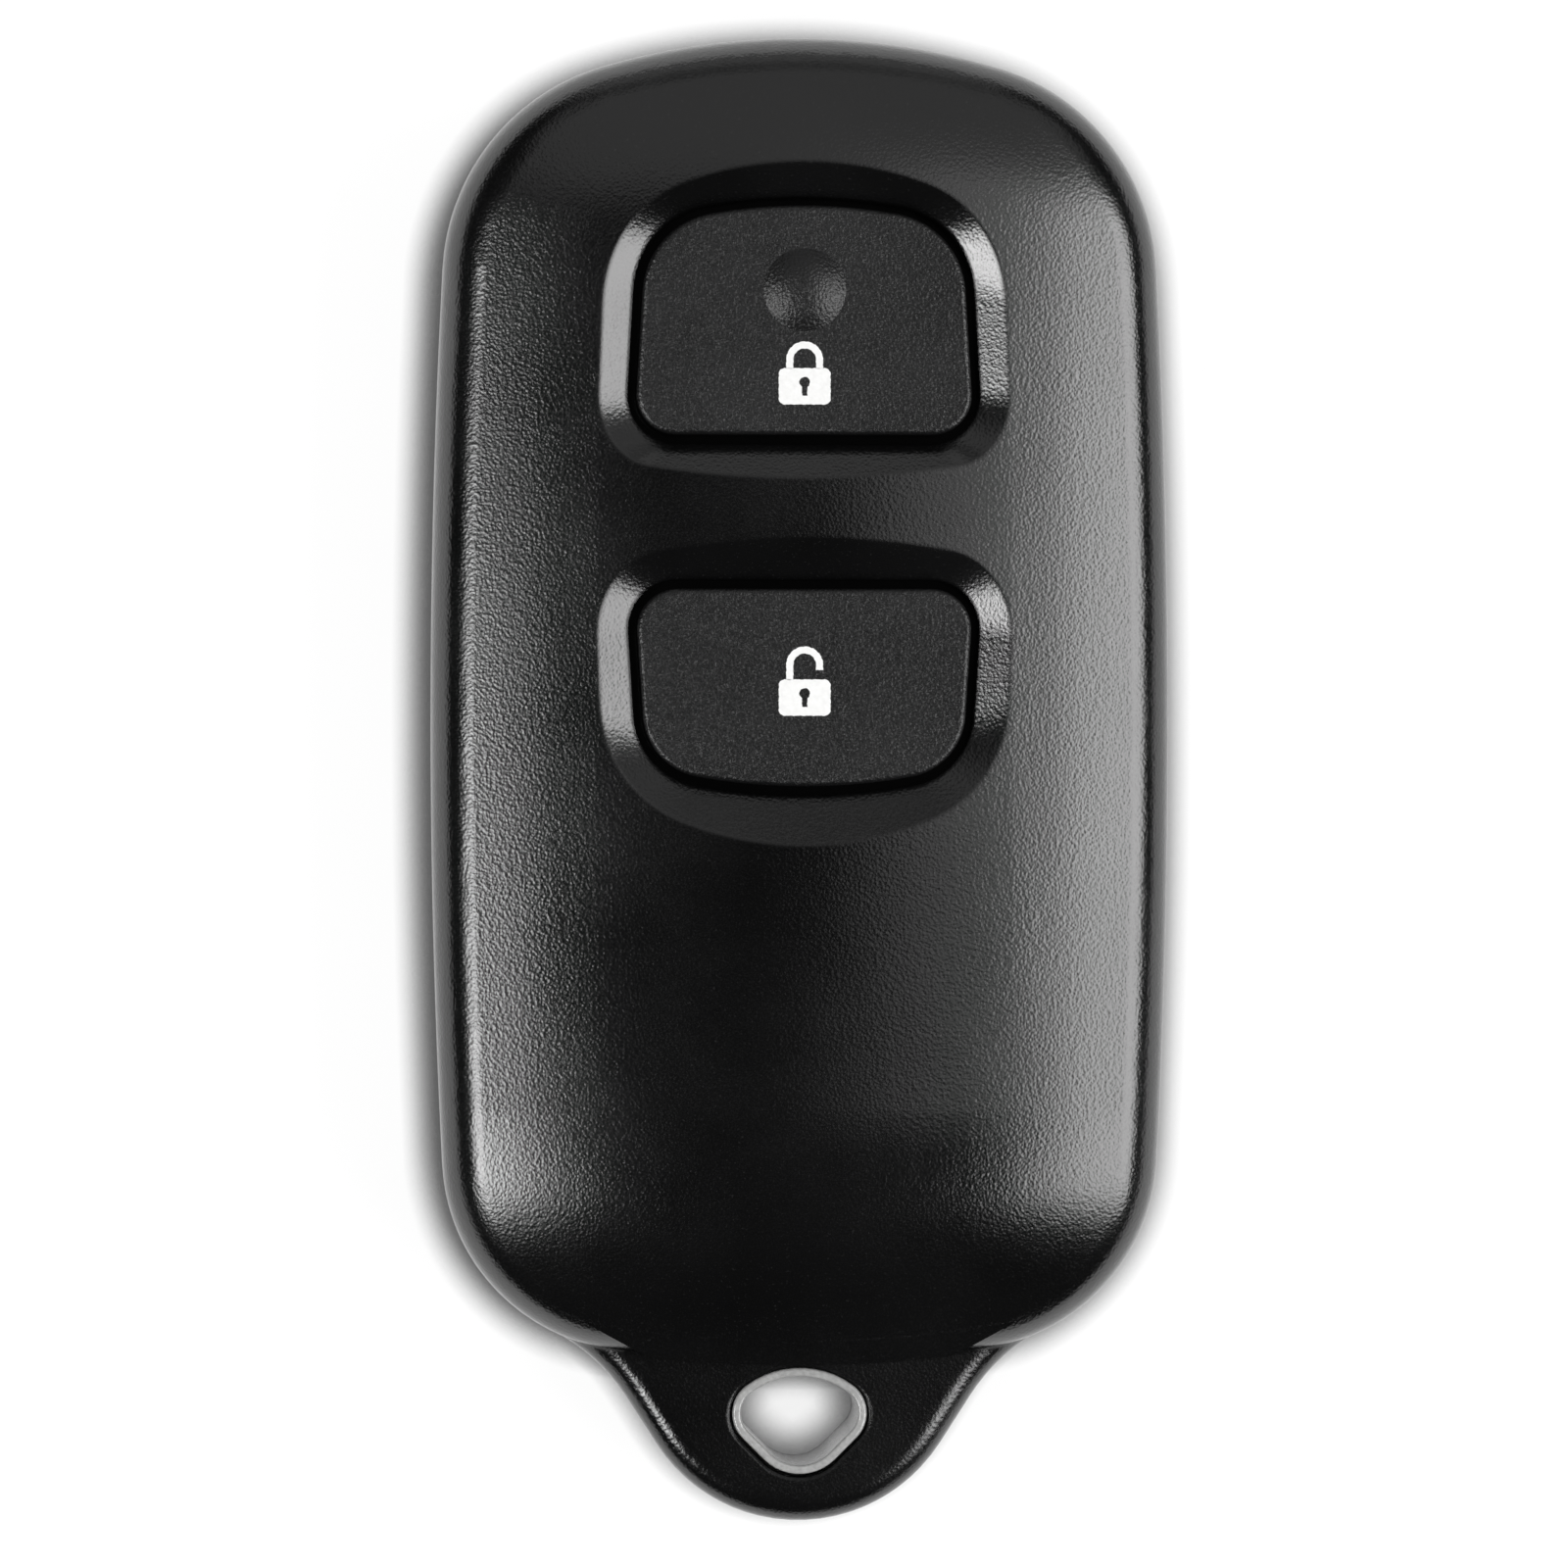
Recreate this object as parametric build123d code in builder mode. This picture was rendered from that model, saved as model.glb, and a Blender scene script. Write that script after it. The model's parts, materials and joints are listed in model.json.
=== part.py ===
from build123d import *

import os
from dataclasses import dataclass
from math import asin, atan, cos, degrees, radians, sin, sqrt, tan

# Two-button car key fob, in millimetres. It lies on its back: X across, Y along, Z up
# through the buttons. The origin is under the middle of its length and width.

# Whole fob
overall_length = 72.3
overall_width = 36.0
crown_height = 13.0
parting_height = 5.0
case_wall = 1.6
case_edge_round = 2.8
overrun = 1.0
half_width = overall_width / 2
top_end = overall_length / 2
tab_end = -overall_length / 2

# Plan of the body, without its tab
top_end_radius = 34.6
top_corner_radius = 10.8
side_radius = 415.0
widest_y = 3.05
lower_end_radius = 64.0
shoulder_radius = 9.7

# Tab with the key-ring eye
tab_end_radius = 8.3
tab_flank_angle = 57.3
tab_root_length = 4.0
tab_rise = 2.4
tab_drop = 3.6
tab_reach = 7.78
tab_edge_round = 1.3
neck_radius = 9.25
tab_top = parting_height + tab_rise
tab_bottom = parting_height - tab_drop
body_end = tab_end + tab_reach
tab_root_y = body_end + tab_root_length
tab_centre_y = tab_end + tab_end_radius

# Crown of the front cover
crown_drop = 2.97
top_roll_radius = 20.0
top_roll_length = 9.0
lower_roll_radius = 20.0
lower_edge_height = 8.6
roof_thickness = 1.5
crown_radius = (half_width**2 + crown_drop**2) / (2 * crown_drop)
crown_axis_z = crown_height - crown_radius
top_roll_y = top_end - top_roll_length
lower_roll_drop = lower_roll_radius - (crown_height - lower_edge_height)
lower_roll_y = body_end + sqrt(lower_roll_radius**2 - lower_roll_drop**2)

# Buttons, their wells and their travel
well_depth = 1.4
cap_sink = 0.8
button_gap = 0.45
button_travel = 0.5
flange_width = 1.3
flange_thickness = 0.75
flange_clearance = 0.05
key_lip = 1.2
key_edge_round = 0.25
key_wall = 1.0
key_post_radius = 1.7
guide_wall = 0.8
guide_clearance = 0.15
mouth_margin = 0.2
bump_radius = 2.0
bump_height = 0.55
bump_inset = 4.09
well_rim = crown_height - well_depth
cap_top = crown_height - cap_sink
flange_roof = well_rim - key_lip
flange_top = flange_roof - flange_clearance
flange_bottom = flange_top - flange_thickness
mouth_height = crown_height + mouth_margin
guide_reach = flange_width + guide_clearance + guide_wall


@dataclass(frozen=True)
class KeyPlan:
    """Plan of a key: one flat end, one arched end and two slanted sides."""

    flat_y: float
    arch_y: float
    flat_half: float
    arch_half: float
    arch_radius: float
    flat_round: float
    arch_round: float

    def spread(self, by):
        """The same plan, larger by one width all round."""
        way = 1 if self.arch_y > self.flat_y else -1
        return KeyPlan(
            self.flat_y - way * by,
            self.arch_y + way * by,
            self.flat_half + by,
            self.arch_half + by,
            self.arch_radius + by,
            self.flat_round + by,
            self.arch_round + by,
        )

    @property
    def middle_y(self):
        return (self.flat_y + self.arch_y) / 2

    def sketch(self):
        """The plan as a face."""
        way = 1 if self.arch_y > self.flat_y else -1
        sagitta = self.arch_radius - sqrt(self.arch_radius**2 - self.arch_half**2)
        corner_y = self.arch_y - way * sagitta
        with BuildSketch() as plan:
            with BuildLine():
                Line((-self.flat_half, self.flat_y), (self.flat_half, self.flat_y))
                Line((self.flat_half, self.flat_y), (self.arch_half, corner_y))
                ThreePointArc((self.arch_half, corner_y), (0, self.arch_y), (-self.arch_half, corner_y))
                Line((-self.arch_half, corner_y), (-self.flat_half, self.flat_y))
            make_face()
            by_y = plan.vertices().sort_by(Axis.Y)[::way]
            fillet(by_y[:2], self.flat_round)
            by_y = plan.vertices().sort_by(Axis.Y)[::way]
            fillet(by_y[-2:], self.arch_round)
        return plan.sketch


@dataclass(frozen=True)
class KeyShares:
    """Plan of a key: ends and corner rounds as shares of a length, the rest as shares of a width."""

    flat_y_share: float
    arch_y_share: float
    flat_half_share: float
    arch_half_share: float
    arch_radius_share: float
    flat_round_share: float
    arch_round_share: float

    def plan(self):
        return KeyPlan(
            self.flat_y_share * overall_length,
            self.arch_y_share * overall_length,
            self.flat_half_share * overall_width,
            self.arch_half_share * overall_width,
            self.arch_radius_share * overall_width,
            self.flat_round_share * overall_length,
            self.arch_round_share * overall_length,
        )


# Outlines of the keys and of the wells' mouths: ends and corner rounds as shares of the fob's length,
# half widths and the radius of the arched end as shares of its width
lock_cap_shares = KeyShares(
    flat_y_share=0.232,
    arch_y_share=0.3849,
    flat_half_share=0.2283,
    arch_half_share=0.2117,
    arch_radius_share=0.7222,
    flat_round_share=0.0264,
    arch_round_share=0.0556,
)
lock_well_shares = KeyShares(
    flat_y_share=0.2028,
    arch_y_share=0.413,
    flat_half_share=0.2789,
    arch_half_share=0.2597,
    arch_radius_share=0.6111,
    flat_round_share=0.0444,
    arch_round_share=0.0889,
)
unlock_cap_shares = KeyShares(
    flat_y_share=0.1292,
    arch_y_share=-0.0028,
    flat_half_share=0.2278,
    arch_half_share=0.2122,
    arch_radius_share=0.8056,
    flat_round_share=0.0271,
    arch_round_share=0.0444,
)
unlock_well_shares = KeyShares(
    flat_y_share=0.1629,
    arch_y_share=-0.0416,
    flat_half_share=0.2822,
    arch_half_share=0.2628,
    arch_radius_share=0.8333,
    flat_round_share=0.0542,
    arch_round_share=0.0833,
)
lock_cap = lock_cap_shares.plan()
lock_well = lock_well_shares.plan()
unlock_cap = unlock_cap_shares.plan()
unlock_well = unlock_well_shares.plan()
keys = {"lock": (lock_cap, lock_well), "unlock": (unlock_cap, unlock_well)}
between_keys_y = (lock_cap.flat_y + unlock_cap.flat_y) / 2
bump_y = lock_cap.arch_y - bump_inset

# Collar of the eye: a rounded triangle, its point towards the end of the tab
eye_inset = 5.22
collar_corner_half = 3.86
collar_top_rise = 2.35
collar_point_drop = 3.86
collar_corner_round = 1.69
collar_point_round = 2.46
collar_wall = 0.42
collar_proud = 0.15
collar_edge_round = 0.15
collar_clearance = 0.12
collar_offset = 0.08
eye_y = tab_end + eye_inset

# Button pad
pad_boss_gap = 0.5
pad_margin = 3.0
pad_corner_round = 6.0
pad_skirt = 0.8
pad_sheet = 0.4
pad_boss_margin = 0.3
pad_boss_radius = 2.2
pad_pip_radius = 1.0
pad_pip_length = 0.35
pad_clearance = 0.05
pad_boss_rise = button_travel + pad_boss_margin
pad_boss_top = flange_bottom - pad_clearance
pad_top = pad_boss_top - pad_boss_rise
pad_under = pad_top - pad_sheet
pip_bottom = pad_under - pad_pip_length
pad_high_y = lock_cap.arch_y + pad_margin
pad_low_y = unlock_cap.arch_y - pad_margin

# Tactile switches
switch_side = 5.2
switch_height = 2.0
switch_base_height = 1.3
switch_cover_thickness = 0.2
switch_floor = 0.4
switch_well_radius = 1.9
switch_fit = 0.04
plunger_travel = 0.25
plunger_radius = 1.1
plunger_flange_radius = 1.6
plunger_flange_thickness = 0.28
plunger_nub_radius = 0.6
dome_radius = 1.7
dome_pressed_height = 0.11
dome_thickness = 0.08
dome_foot_clearance = 0.02
terminal_width = 0.8
terminal_reach = 0.7
terminal_thickness = 0.2
terminal_spacing = 3.4
dome_height = plunger_travel + dome_pressed_height
plunger_top = pip_bottom - pad_clearance

# Circuit board and the screws that hold it under the front cover
board_thickness = 0.8
board_clearance = 0.25
board_hole_radius = 0.95
boss_radius = 1.5
pilot_radius = 0.68
screw_shank_radius = 0.65
screw_length = 3.2
screw_head_radius = 1.25
screw_head_height = 0.7
screw_recess_width = 0.45
screw_recess_depth = 0.35
screw_end_gap = 0.05
upper_boss_gap = 0.7
lower_boss_gap = 0.6
board_top = plunger_top - switch_height
board_bottom = board_top - board_thickness

# Rear cover
floor_thickness = 1.5
rear_edge_round = 1.6
lip_height = 1.2
lip_thickness = 0.7
lip_clearance = 0.05
snap_reach = 0.3
snap_height = 0.4
snap_width = 5.0
snap_clearance = 0.05
snap_lift = 0.5
upper_snap_inset = 15.0
lower_snap_inset = 19.1
label_length = 22.0
label_width = 16.0
label_depth = 0.3
label_corner_round = 2.0
label_inset = 20.0
pry_width = 6.0
pry_height = 0.9
pry_depth = 1.0
lip_outside = case_wall + lip_clearance
lip_inside = lip_outside + lip_thickness
upper_snap_y = top_end - upper_snap_inset
lower_snap_y = body_end + lower_snap_inset
label_y = top_end - label_inset
board_inset = lip_inside + board_clearance
upper_screw_x = half_width - board_inset - upper_boss_gap - boss_radius
pad_half_width = upper_screw_x - boss_radius - pad_boss_gap

# Coin cell, its pocket and its contacts
cell_radius = 10.0
cell_height = 1.6
cell_skin = 0.25
cell_cap_radius = 9.0
cell_fit = 0.02
cell_end_gap = 5.95
cell_clearance = 0.15
pocket_wall = 0.85
pocket_height = 1.6
seat_height = 0.4
seat_radius = 7.0
seat_width = 1.2
contact_thickness = 0.2
contact_width = 3.0
contact_pad_length = 3.0
contact_edge_gap = 0.5
contact_clearance = 0.05
pocket_slot_width = 4.0
leaf_length = 6.0
leaf_tip = 1.0
leaf_tip_rise = 0.4
cell_bottom = floor_thickness + seat_height
cell_top = cell_bottom + cell_height
pocket_radius = cell_radius + cell_clearance
cell_y = body_end + lip_inside + cell_end_gap + pocket_wall + pocket_radius
contact_edge_x = half_width - board_inset - contact_edge_gap

# Parts soldered to the board
package_height = 1.4
package_standoff = 0.1
package_edge_chamfer = 0.15
leg_pitch = 1.27
leg_width = 0.42
leg_thickness = 0.2
leg_foot = 0.6
leg_reach = 1.0
encoder_length = 8.7
encoder_width = 3.9
encoder_legs = 7
encoder_gap = 0.8
memory_length = 4.9
memory_width = 3.9
memory_legs = 4
resonator_side = 5.0
resonator_height = 1.3
resonator_rim = 0.3
resonator_rim_height = 0.25
resonator_gap = 2.3
trimmer_length = 4.4
trimmer_width = 3.4
trimmer_height = 1.0
trimmer_rotor_radius = 1.35
trimmer_rotor_height = 0.35
trimmer_slot_width = 0.35
trimmer_slot_depth = 0.2
antenna_width = 1.2
antenna_thickness = 0.15
antenna_edge = 0.4
antenna_gap = 2.8
chip_length = 1.6
chip_width = 0.8
resistor_height = 0.45
capacitor_height = 0.9
transistor_length = 2.9
transistor_width = 1.3
transistor_height = 1.0
part_gap = 0.5
column_gap = 1.6
row_pitch = 2.4
encoder_y = pad_low_y - encoder_gap - leg_reach - encoder_width / 2
memory_y = between_keys_y
antenna_top_y = pad_low_y - antenna_gap
upper_row_y = encoder_y + row_pitch
lower_row_y = encoder_y - row_pitch
last_row_y = lower_row_y - row_pitch
column_x = encoder_length / 2 + column_gap + transistor_length / 2
memory_column_x = memory_length / 2 + column_gap + chip_length / 2
antenna_inset = board_inset + antenna_edge
resonator_x = (
    half_width - antenna_inset - antenna_width - resonator_gap - resonator_rim - resonator_side / 2
)
lower_screw_y = body_end + antenna_inset + antenna_width + lower_boss_gap + boss_radius
screw_places = [
    (-upper_screw_x, between_keys_y),
    (upper_screw_x, between_keys_y),
    (0, lower_screw_y),
]
resonator_y = lower_row_y - transistor_width / 2 - part_gap - resonator_rim - resonator_side / 2
resistor_places = [
    (-column_x, upper_row_y),
    (column_x, upper_row_y),
    (-column_x, encoder_y),
    (0, last_row_y),
    (-memory_column_x, memory_y - row_pitch / 2),
    (memory_column_x, memory_y - row_pitch / 2),
]
capacitor_places = [
    (column_x, encoder_y),
    (-chip_length - part_gap / 2, last_row_y),
    (chip_length + part_gap / 2, last_row_y),
    (-memory_column_x, memory_y + row_pitch / 2),
    (memory_column_x, memory_y + row_pitch / 2),
]
transistor_places = [(-column_x, lower_row_y), (column_x, lower_row_y)]


def crown_at(x, y):
    """Height of the crown over a point of the plan."""
    drop = 0
    if y > top_roll_y:
        drop = top_roll_radius - sqrt(top_roll_radius**2 - (y - top_roll_y) ** 2)
    if y < lower_roll_y:
        drop = lower_roll_radius - sqrt(lower_roll_radius**2 - (y - lower_roll_y) ** 2)
    return crown_axis_z + sqrt((crown_radius - drop) ** 2 - x**2)


def body_plan(inset=0):
    """Plan of the body without its tab, drawn in by a wall."""
    with BuildSketch() as plan:
        with Locations((0, top_end - top_end_radius)):
            Circle(top_end_radius - inset)
            Rectangle(2 * (top_end_radius - inset), overall_length, align=(Align.CENTER, Align.MAX))
        with Locations(Location((half_width - side_radius, widest_y, 0), (0, 0, 180))):
            Circle(side_radius - inset, mode=Mode.INTERSECT)
        with Locations((side_radius - half_width, widest_y)):
            Circle(side_radius - inset, mode=Mode.INTERSECT)
        with Locations((0, body_end + lower_end_radius)):
            Circle(lower_end_radius - inset, mode=Mode.INTERSECT)
        fillet(plan.vertices().sort_by(Axis.Y)[-2:], top_corner_radius - inset)
        fillet(plan.vertices().sort_by(Axis.Y)[:2], shoulder_radius - inset)
    return plan.sketch


def tab_plan():
    """Plan of the tab, from its root inside the body to its round end."""
    flank_x = tab_end_radius * sin(radians(tab_flank_angle))
    flank_y = tab_centre_y - tab_end_radius * cos(radians(tab_flank_angle))
    root_x = flank_x + (tab_root_y - flank_y) / tan(radians(tab_flank_angle))
    with BuildSketch() as plan:
        add(body_plan())
        with Locations((0, tab_centre_y)):
            Circle(tab_end_radius)
        with BuildLine():
            Polyline(
                (-flank_x, flank_y),
                (flank_x, flank_y),
                (root_x, tab_root_y),
                (-root_x, tab_root_y),
                close=True,
            )
        make_face()
        fillet(plan.vertices().sort_by(Axis.Y)[2:4], neck_radius)
        with Locations((0, tab_root_y)):
            Rectangle(
                overall_width, overall_length, align=(Align.CENTER, Align.MIN), mode=Mode.SUBTRACT
            )
    return plan.sketch


def eye_plan(spread=0):
    """Rounded triangle of the eye, larger than the collar by a width."""
    arch_radius = (collar_corner_half**2 + collar_top_rise**2) / (2 * collar_top_rise)
    lean = collar_corner_half / collar_point_drop
    point_y = eye_y - collar_point_drop - spread / sin(atan(lean))
    depth = eye_y + collar_top_rise - arch_radius - point_y
    slope = 1 + lean**2
    rise = (depth + sqrt(depth**2 - slope * (depth**2 - (arch_radius + spread) ** 2))) / slope
    corner = (rise * lean, point_y + rise)
    mirrored = (-rise * lean, point_y + rise)
    with BuildSketch() as plan:
        with BuildLine():
            ThreePointArc(mirrored, (0, eye_y + collar_top_rise + spread), corner)
            Polyline(corner, (0, point_y), mirrored)
        make_face()
        fillet(plan.vertices().sort_by(Axis.Y)[-2:], collar_corner_round + spread)
        fillet(plan.vertices().sort_by(Axis.Y)[:1], collar_point_round + spread)
    return plan.sketch


def pad_plan(inset=0):
    """Plan of the button pad, drawn in by a wall."""
    with BuildSketch() as plan:
        with Locations((0, (pad_high_y + pad_low_y) / 2)):
            RectangleRounded(
                2 * (pad_half_width - inset), pad_high_y - pad_low_y - 2 * inset, pad_corner_round - inset
            )
    return plan.sketch


def crown_form(inset=0):
    """Everything under the crown, or under a face drawn in from it."""
    top_arc = degrees(asin((top_roll_length + overrun) / top_roll_radius))
    level = crown_height - inset
    with BuildPart() as form:
        with BuildSketch(Plane.YZ):
            with BuildLine():
                low = CenterArc(
                    (lower_roll_y, crown_height - lower_roll_radius), lower_roll_radius - inset, 180, -90
                )
                Line((lower_roll_y, level), (top_roll_y, level))
                top = CenterArc(
                    (top_roll_y, crown_height - top_roll_radius), top_roll_radius - inset, 90, -top_arc
                )
                Polyline(top @ 1, ((top @ 1).X, crown_axis_z), ((low @ 0).X, crown_axis_z), low @ 0)
            make_face()
        revolve(axis=Axis((0, 0, crown_axis_z), (0, 1, 0)))
    return form.part


def wall_rims(part, above):
    """Upper edges of the upright walls of a part, over a height."""
    walls = part.faces().filter_by(lambda face: abs(face.normal_at().Z) < 1e-6)
    edges = walls.edges().filter_by(Axis.Z, reverse=True)
    return edges.filter_by(lambda edge: edge.center().Z > above)


def well_cutter(cap, well):
    """Space of one well: sloped walls from the rim of its aperture out through the crown."""
    aperture = cap.spread(button_gap)
    lift = mouth_height - well_rim
    flat_reach = lift / (crown_at(0, well.flat_y) - well_rim)
    arch_reach = lift / (crown_at(0, well.arch_y) - well_rim)
    side_reach = lift / (crown_at(well.flat_half, well.middle_y) - well_rim)
    round_reach = (flat_reach + side_reach) / 2

    def grown(low, high, reach):
        return low + (high - low) * reach

    mouth = KeyPlan(
        grown(aperture.flat_y, well.flat_y, flat_reach),
        grown(aperture.arch_y, well.arch_y, arch_reach),
        grown(aperture.flat_half, well.flat_half, side_reach),
        grown(aperture.arch_half, well.arch_half, side_reach),
        well.arch_radius,
        grown(aperture.flat_round, well.flat_round, round_reach),
        grown(aperture.arch_round, well.arch_round, round_reach),
    )
    with BuildPart() as cutter:
        with BuildSketch(Plane.XY.offset(well_rim)):
            add(aperture.sketch())
        with BuildSketch(Plane.XY.offset(mouth_height)):
            add(mouth.sketch())
        loft(ruled=True)
        with BuildSketch(Plane.XY.offset(flange_roof - overrun)):
            add(aperture.sketch())
        extrude(amount=well_rim - flange_roof + overrun)
    return cutter.part


def front_cavity():
    """Hollow of the front cover, with thick roofs left round the apertures."""
    with BuildPart() as cavity:
        with BuildSketch(Plane.XY.offset(parting_height - overrun)):
            add(body_plan(case_wall))
        extrude(amount=crown_height - parting_height + overrun)
        add(crown_form(roof_thickness), mode=Mode.INTERSECT)
        for cap, _ in keys.values():
            with BuildSketch(Plane.XY.offset(flange_roof)):
                add(cap.spread(guide_reach).sketch())
            extrude(amount=crown_height - flange_roof, mode=Mode.SUBTRACT)
        with BuildSketch(Plane.XY.offset(parting_height - overrun)):
            add(body_plan(case_wall))
        extrude(amount=overrun + lip_height + lip_clearance)
    return cavity.part


def snap_blocks(outside, low, height, width):
    """Four short lengths of a band along the case wall, for the snaps and their pockets."""
    with BuildPart() as blocks:
        with BuildSketch(Plane.XY.offset(low)):
            add(body_plan(outside))
            add(body_plan(lip_outside + lip_thickness / 2), mode=Mode.SUBTRACT)
        extrude(amount=height)
        with BuildSketch(Plane.XY.offset(low)):
            with Locations((0, upper_snap_y), (0, lower_snap_y)):
                Rectangle(overall_width, width)
        extrude(amount=height, mode=Mode.INTERSECT)
    return blocks.part


def front_cover_piece():
    """Crowned shell with the upper half of the tab, the wells, key guides and screw bosses."""
    with BuildPart() as crown_body:
        add(body_plan())
        extrude(amount=crown_height)
        add(crown_form(), mode=Mode.INTERSECT)
        fillet(wall_rims(crown_body, parting_height / 2), case_edge_round)
        split(bisect_by=Plane.XY.offset(parting_height), keep=Keep.TOP)

    with BuildPart() as tab:
        with BuildSketch(Plane.XY.offset(parting_height)):
            add(tab_plan())
        extrude(amount=tab_rise)
        rims = wall_rims(tab, tab_top - tab_rise / 4)
        fillet(rims.filter_by(lambda edge: edge.center().Y < tab_root_y - tab_rise / 4), tab_edge_round)

    with BuildPart() as cover:
        add(crown_body.part)
        add(tab.part)
        add(front_cavity(), mode=Mode.SUBTRACT)
        for cap, well in keys.values():
            with BuildSketch(Plane.XY.offset(pad_top)):
                add(cap.spread(guide_reach).sketch())
                add(cap.spread(guide_reach - guide_wall).sketch(), mode=Mode.SUBTRACT)
            extrude(amount=flange_roof - pad_top)
            add(well_cutter(cap, well), mode=Mode.SUBTRACT)
        for x, y in screw_places:
            with BuildSketch(Plane.XY.offset(board_top)):
                with Locations((x, y)):
                    Circle(boss_radius)
            extrude(amount=crown_at(x, y) - roof_thickness / 2 - board_top)
        with BuildSketch(Plane.XY.offset(board_top)):
            with Locations(*screw_places):
                Circle(pilot_radius)
        extrude(amount=screw_length - board_thickness + screw_end_gap, mode=Mode.SUBTRACT)
        add(
            snap_blocks(
                lip_outside - snap_reach - snap_clearance,
                parting_height + snap_lift - snap_clearance,
                snap_height + 2 * snap_clearance,
                snap_width + 2 * snap_clearance,
            ),
            mode=Mode.SUBTRACT,
        )
        with BuildSketch(Plane.XY.offset(parting_height)):
            with Locations((0, -collar_offset)):
                add(eye_plan(collar_clearance))
        extrude(amount=tab_rise + overrun, mode=Mode.SUBTRACT)
    cover.part.label = "front_cover"
    return cover.part


def rear_cover_piece():
    """Rear tray with its lip and snaps, cell pocket, label recess and the eye's collar."""
    with BuildPart() as tray:
        add(body_plan())
        extrude(amount=parting_height)
        fillet(tray.faces().sort_by(Axis.Z)[0].edges(), rear_edge_round)

    with BuildPart() as tab:
        with BuildSketch(Plane.XY.offset(tab_bottom)):
            add(tab_plan())
        extrude(amount=tab_drop)
        rims = tab.faces().sort_by(Axis.Z)[0].edges()
        fillet(rims.filter_by(lambda edge: edge.center().Y < tab_root_y - tab_rise / 4), tab_edge_round)

    with BuildPart() as cover:
        add(tray.part)
        add(tab.part)
        with BuildSketch(Plane.XY.offset(floor_thickness)):
            add(body_plan(lip_inside))
        extrude(amount=parting_height, mode=Mode.SUBTRACT)
        with BuildSketch(Plane.XY.offset(parting_height)):
            add(body_plan(lip_outside))
            add(body_plan(lip_inside), mode=Mode.SUBTRACT)
        extrude(amount=lip_height)
        add(snap_blocks(lip_outside - snap_reach, parting_height + snap_lift, snap_height, snap_width))
        with BuildSketch(Plane.XY.offset(floor_thickness)):
            with Locations((0, cell_y)):
                Circle(pocket_radius + pocket_wall)
                Circle(pocket_radius, mode=Mode.SUBTRACT)
            with Locations((pocket_radius, cell_y)):
                Rectangle(2 * pocket_wall + cell_clearance, pocket_slot_width, mode=Mode.SUBTRACT)
        extrude(amount=pocket_height)
        with BuildSketch(Plane.XY.offset(floor_thickness)):
            with Locations((0, cell_y)):
                Circle(seat_radius + seat_width)
                Circle(seat_radius, mode=Mode.SUBTRACT)
        extrude(amount=seat_height)
        with BuildSketch():
            with Locations((0, label_y)):
                RectangleRounded(label_width, label_length, label_corner_round)
        extrude(amount=label_depth, mode=Mode.SUBTRACT)
        with BuildSketch(Plane.XY.offset(parting_height - pry_height)):
            with Locations((0, top_end)):
                Rectangle(pry_width, 2 * pry_depth)
        extrude(amount=pry_height, mode=Mode.SUBTRACT)
        with BuildSketch(Plane.XY.offset(parting_height)):
            add(eye_plan())
        extrude(amount=tab_rise + collar_proud)
        with BuildSketch(Plane.XY.offset(tab_bottom)):
            add(eye_plan(-collar_wall))
        extrude(amount=tab_drop + tab_rise + collar_proud, mode=Mode.SUBTRACT)
        fillet(cover.faces().sort_by(Axis.Z)[-1].edges(), collar_edge_round)
    cover.part.label = "rear_cover"
    return cover.part


def button_piece(name, cap):
    """Hollow key with a flange under the cover and a post over its switch."""
    with BuildPart() as key:
        with BuildSketch(Plane.XY.offset(flange_bottom)):
            add(cap.spread(flange_width).sketch())
        extrude(amount=flange_thickness)
        with BuildSketch(Plane.XY.offset(flange_bottom)):
            add(cap.sketch())
        extrude(amount=cap_top - flange_bottom)
        fillet(key.faces().sort_by(Axis.Z)[-1].edges(), key_edge_round)
        with BuildSketch(Plane.XY.offset(flange_bottom)):
            add(cap.spread(-key_wall).sketch())
            with Locations((0, cap.middle_y)):
                Circle(key_post_radius, mode=Mode.SUBTRACT)
        extrude(amount=cap_top - flange_bottom - key_wall, mode=Mode.SUBTRACT)
        if name == "lock":
            ball_radius = (bump_radius**2 + bump_height**2) / (2 * bump_height)
            base_angle = degrees(asin(1 - bump_height / ball_radius))
            with Locations((0, bump_y, cap_top)):
                Sphere(ball_radius, base_angle, align=(Align.CENTER, Align.CENTER, Align.MIN))
    key.part.label = f"{name}_button"
    return key.part


def pad_piece():
    """Silicone pad: a skirt on the board, a sheet, and a boss and pip under each key."""
    with BuildPart() as pad:
        with BuildSketch(Plane.XY.offset(board_top)):
            add(pad_plan())
            add(pad_plan(pad_skirt), mode=Mode.SUBTRACT)
        extrude(amount=pad_under - board_top)
        with BuildSketch(Plane.XY.offset(pad_under)):
            add(pad_plan())
        extrude(amount=pad_sheet)
        key_middles = [(0, cap.middle_y) for cap, _ in keys.values()]
        with BuildSketch(Plane.XY.offset(pad_top)):
            with Locations(*key_middles):
                Circle(pad_boss_radius)
        extrude(amount=pad_boss_rise)
        with BuildSketch(Plane.XY.offset(pip_bottom)):
            with Locations(*key_middles):
                Circle(pad_pip_radius)
        extrude(amount=pad_pip_length)
    pad.part.label = "button_pad"
    return pad.part


def board_piece():
    """Circuit board that follows the inside of the lip."""
    with BuildPart() as board:
        with BuildSketch(Plane.XY.offset(board_bottom)):
            add(body_plan(board_inset))
            with Locations(*screw_places):
                Circle(board_hole_radius, mode=Mode.SUBTRACT)
        extrude(amount=board_thickness)
    board.part.label = "circuit_board"
    return board.part


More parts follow.
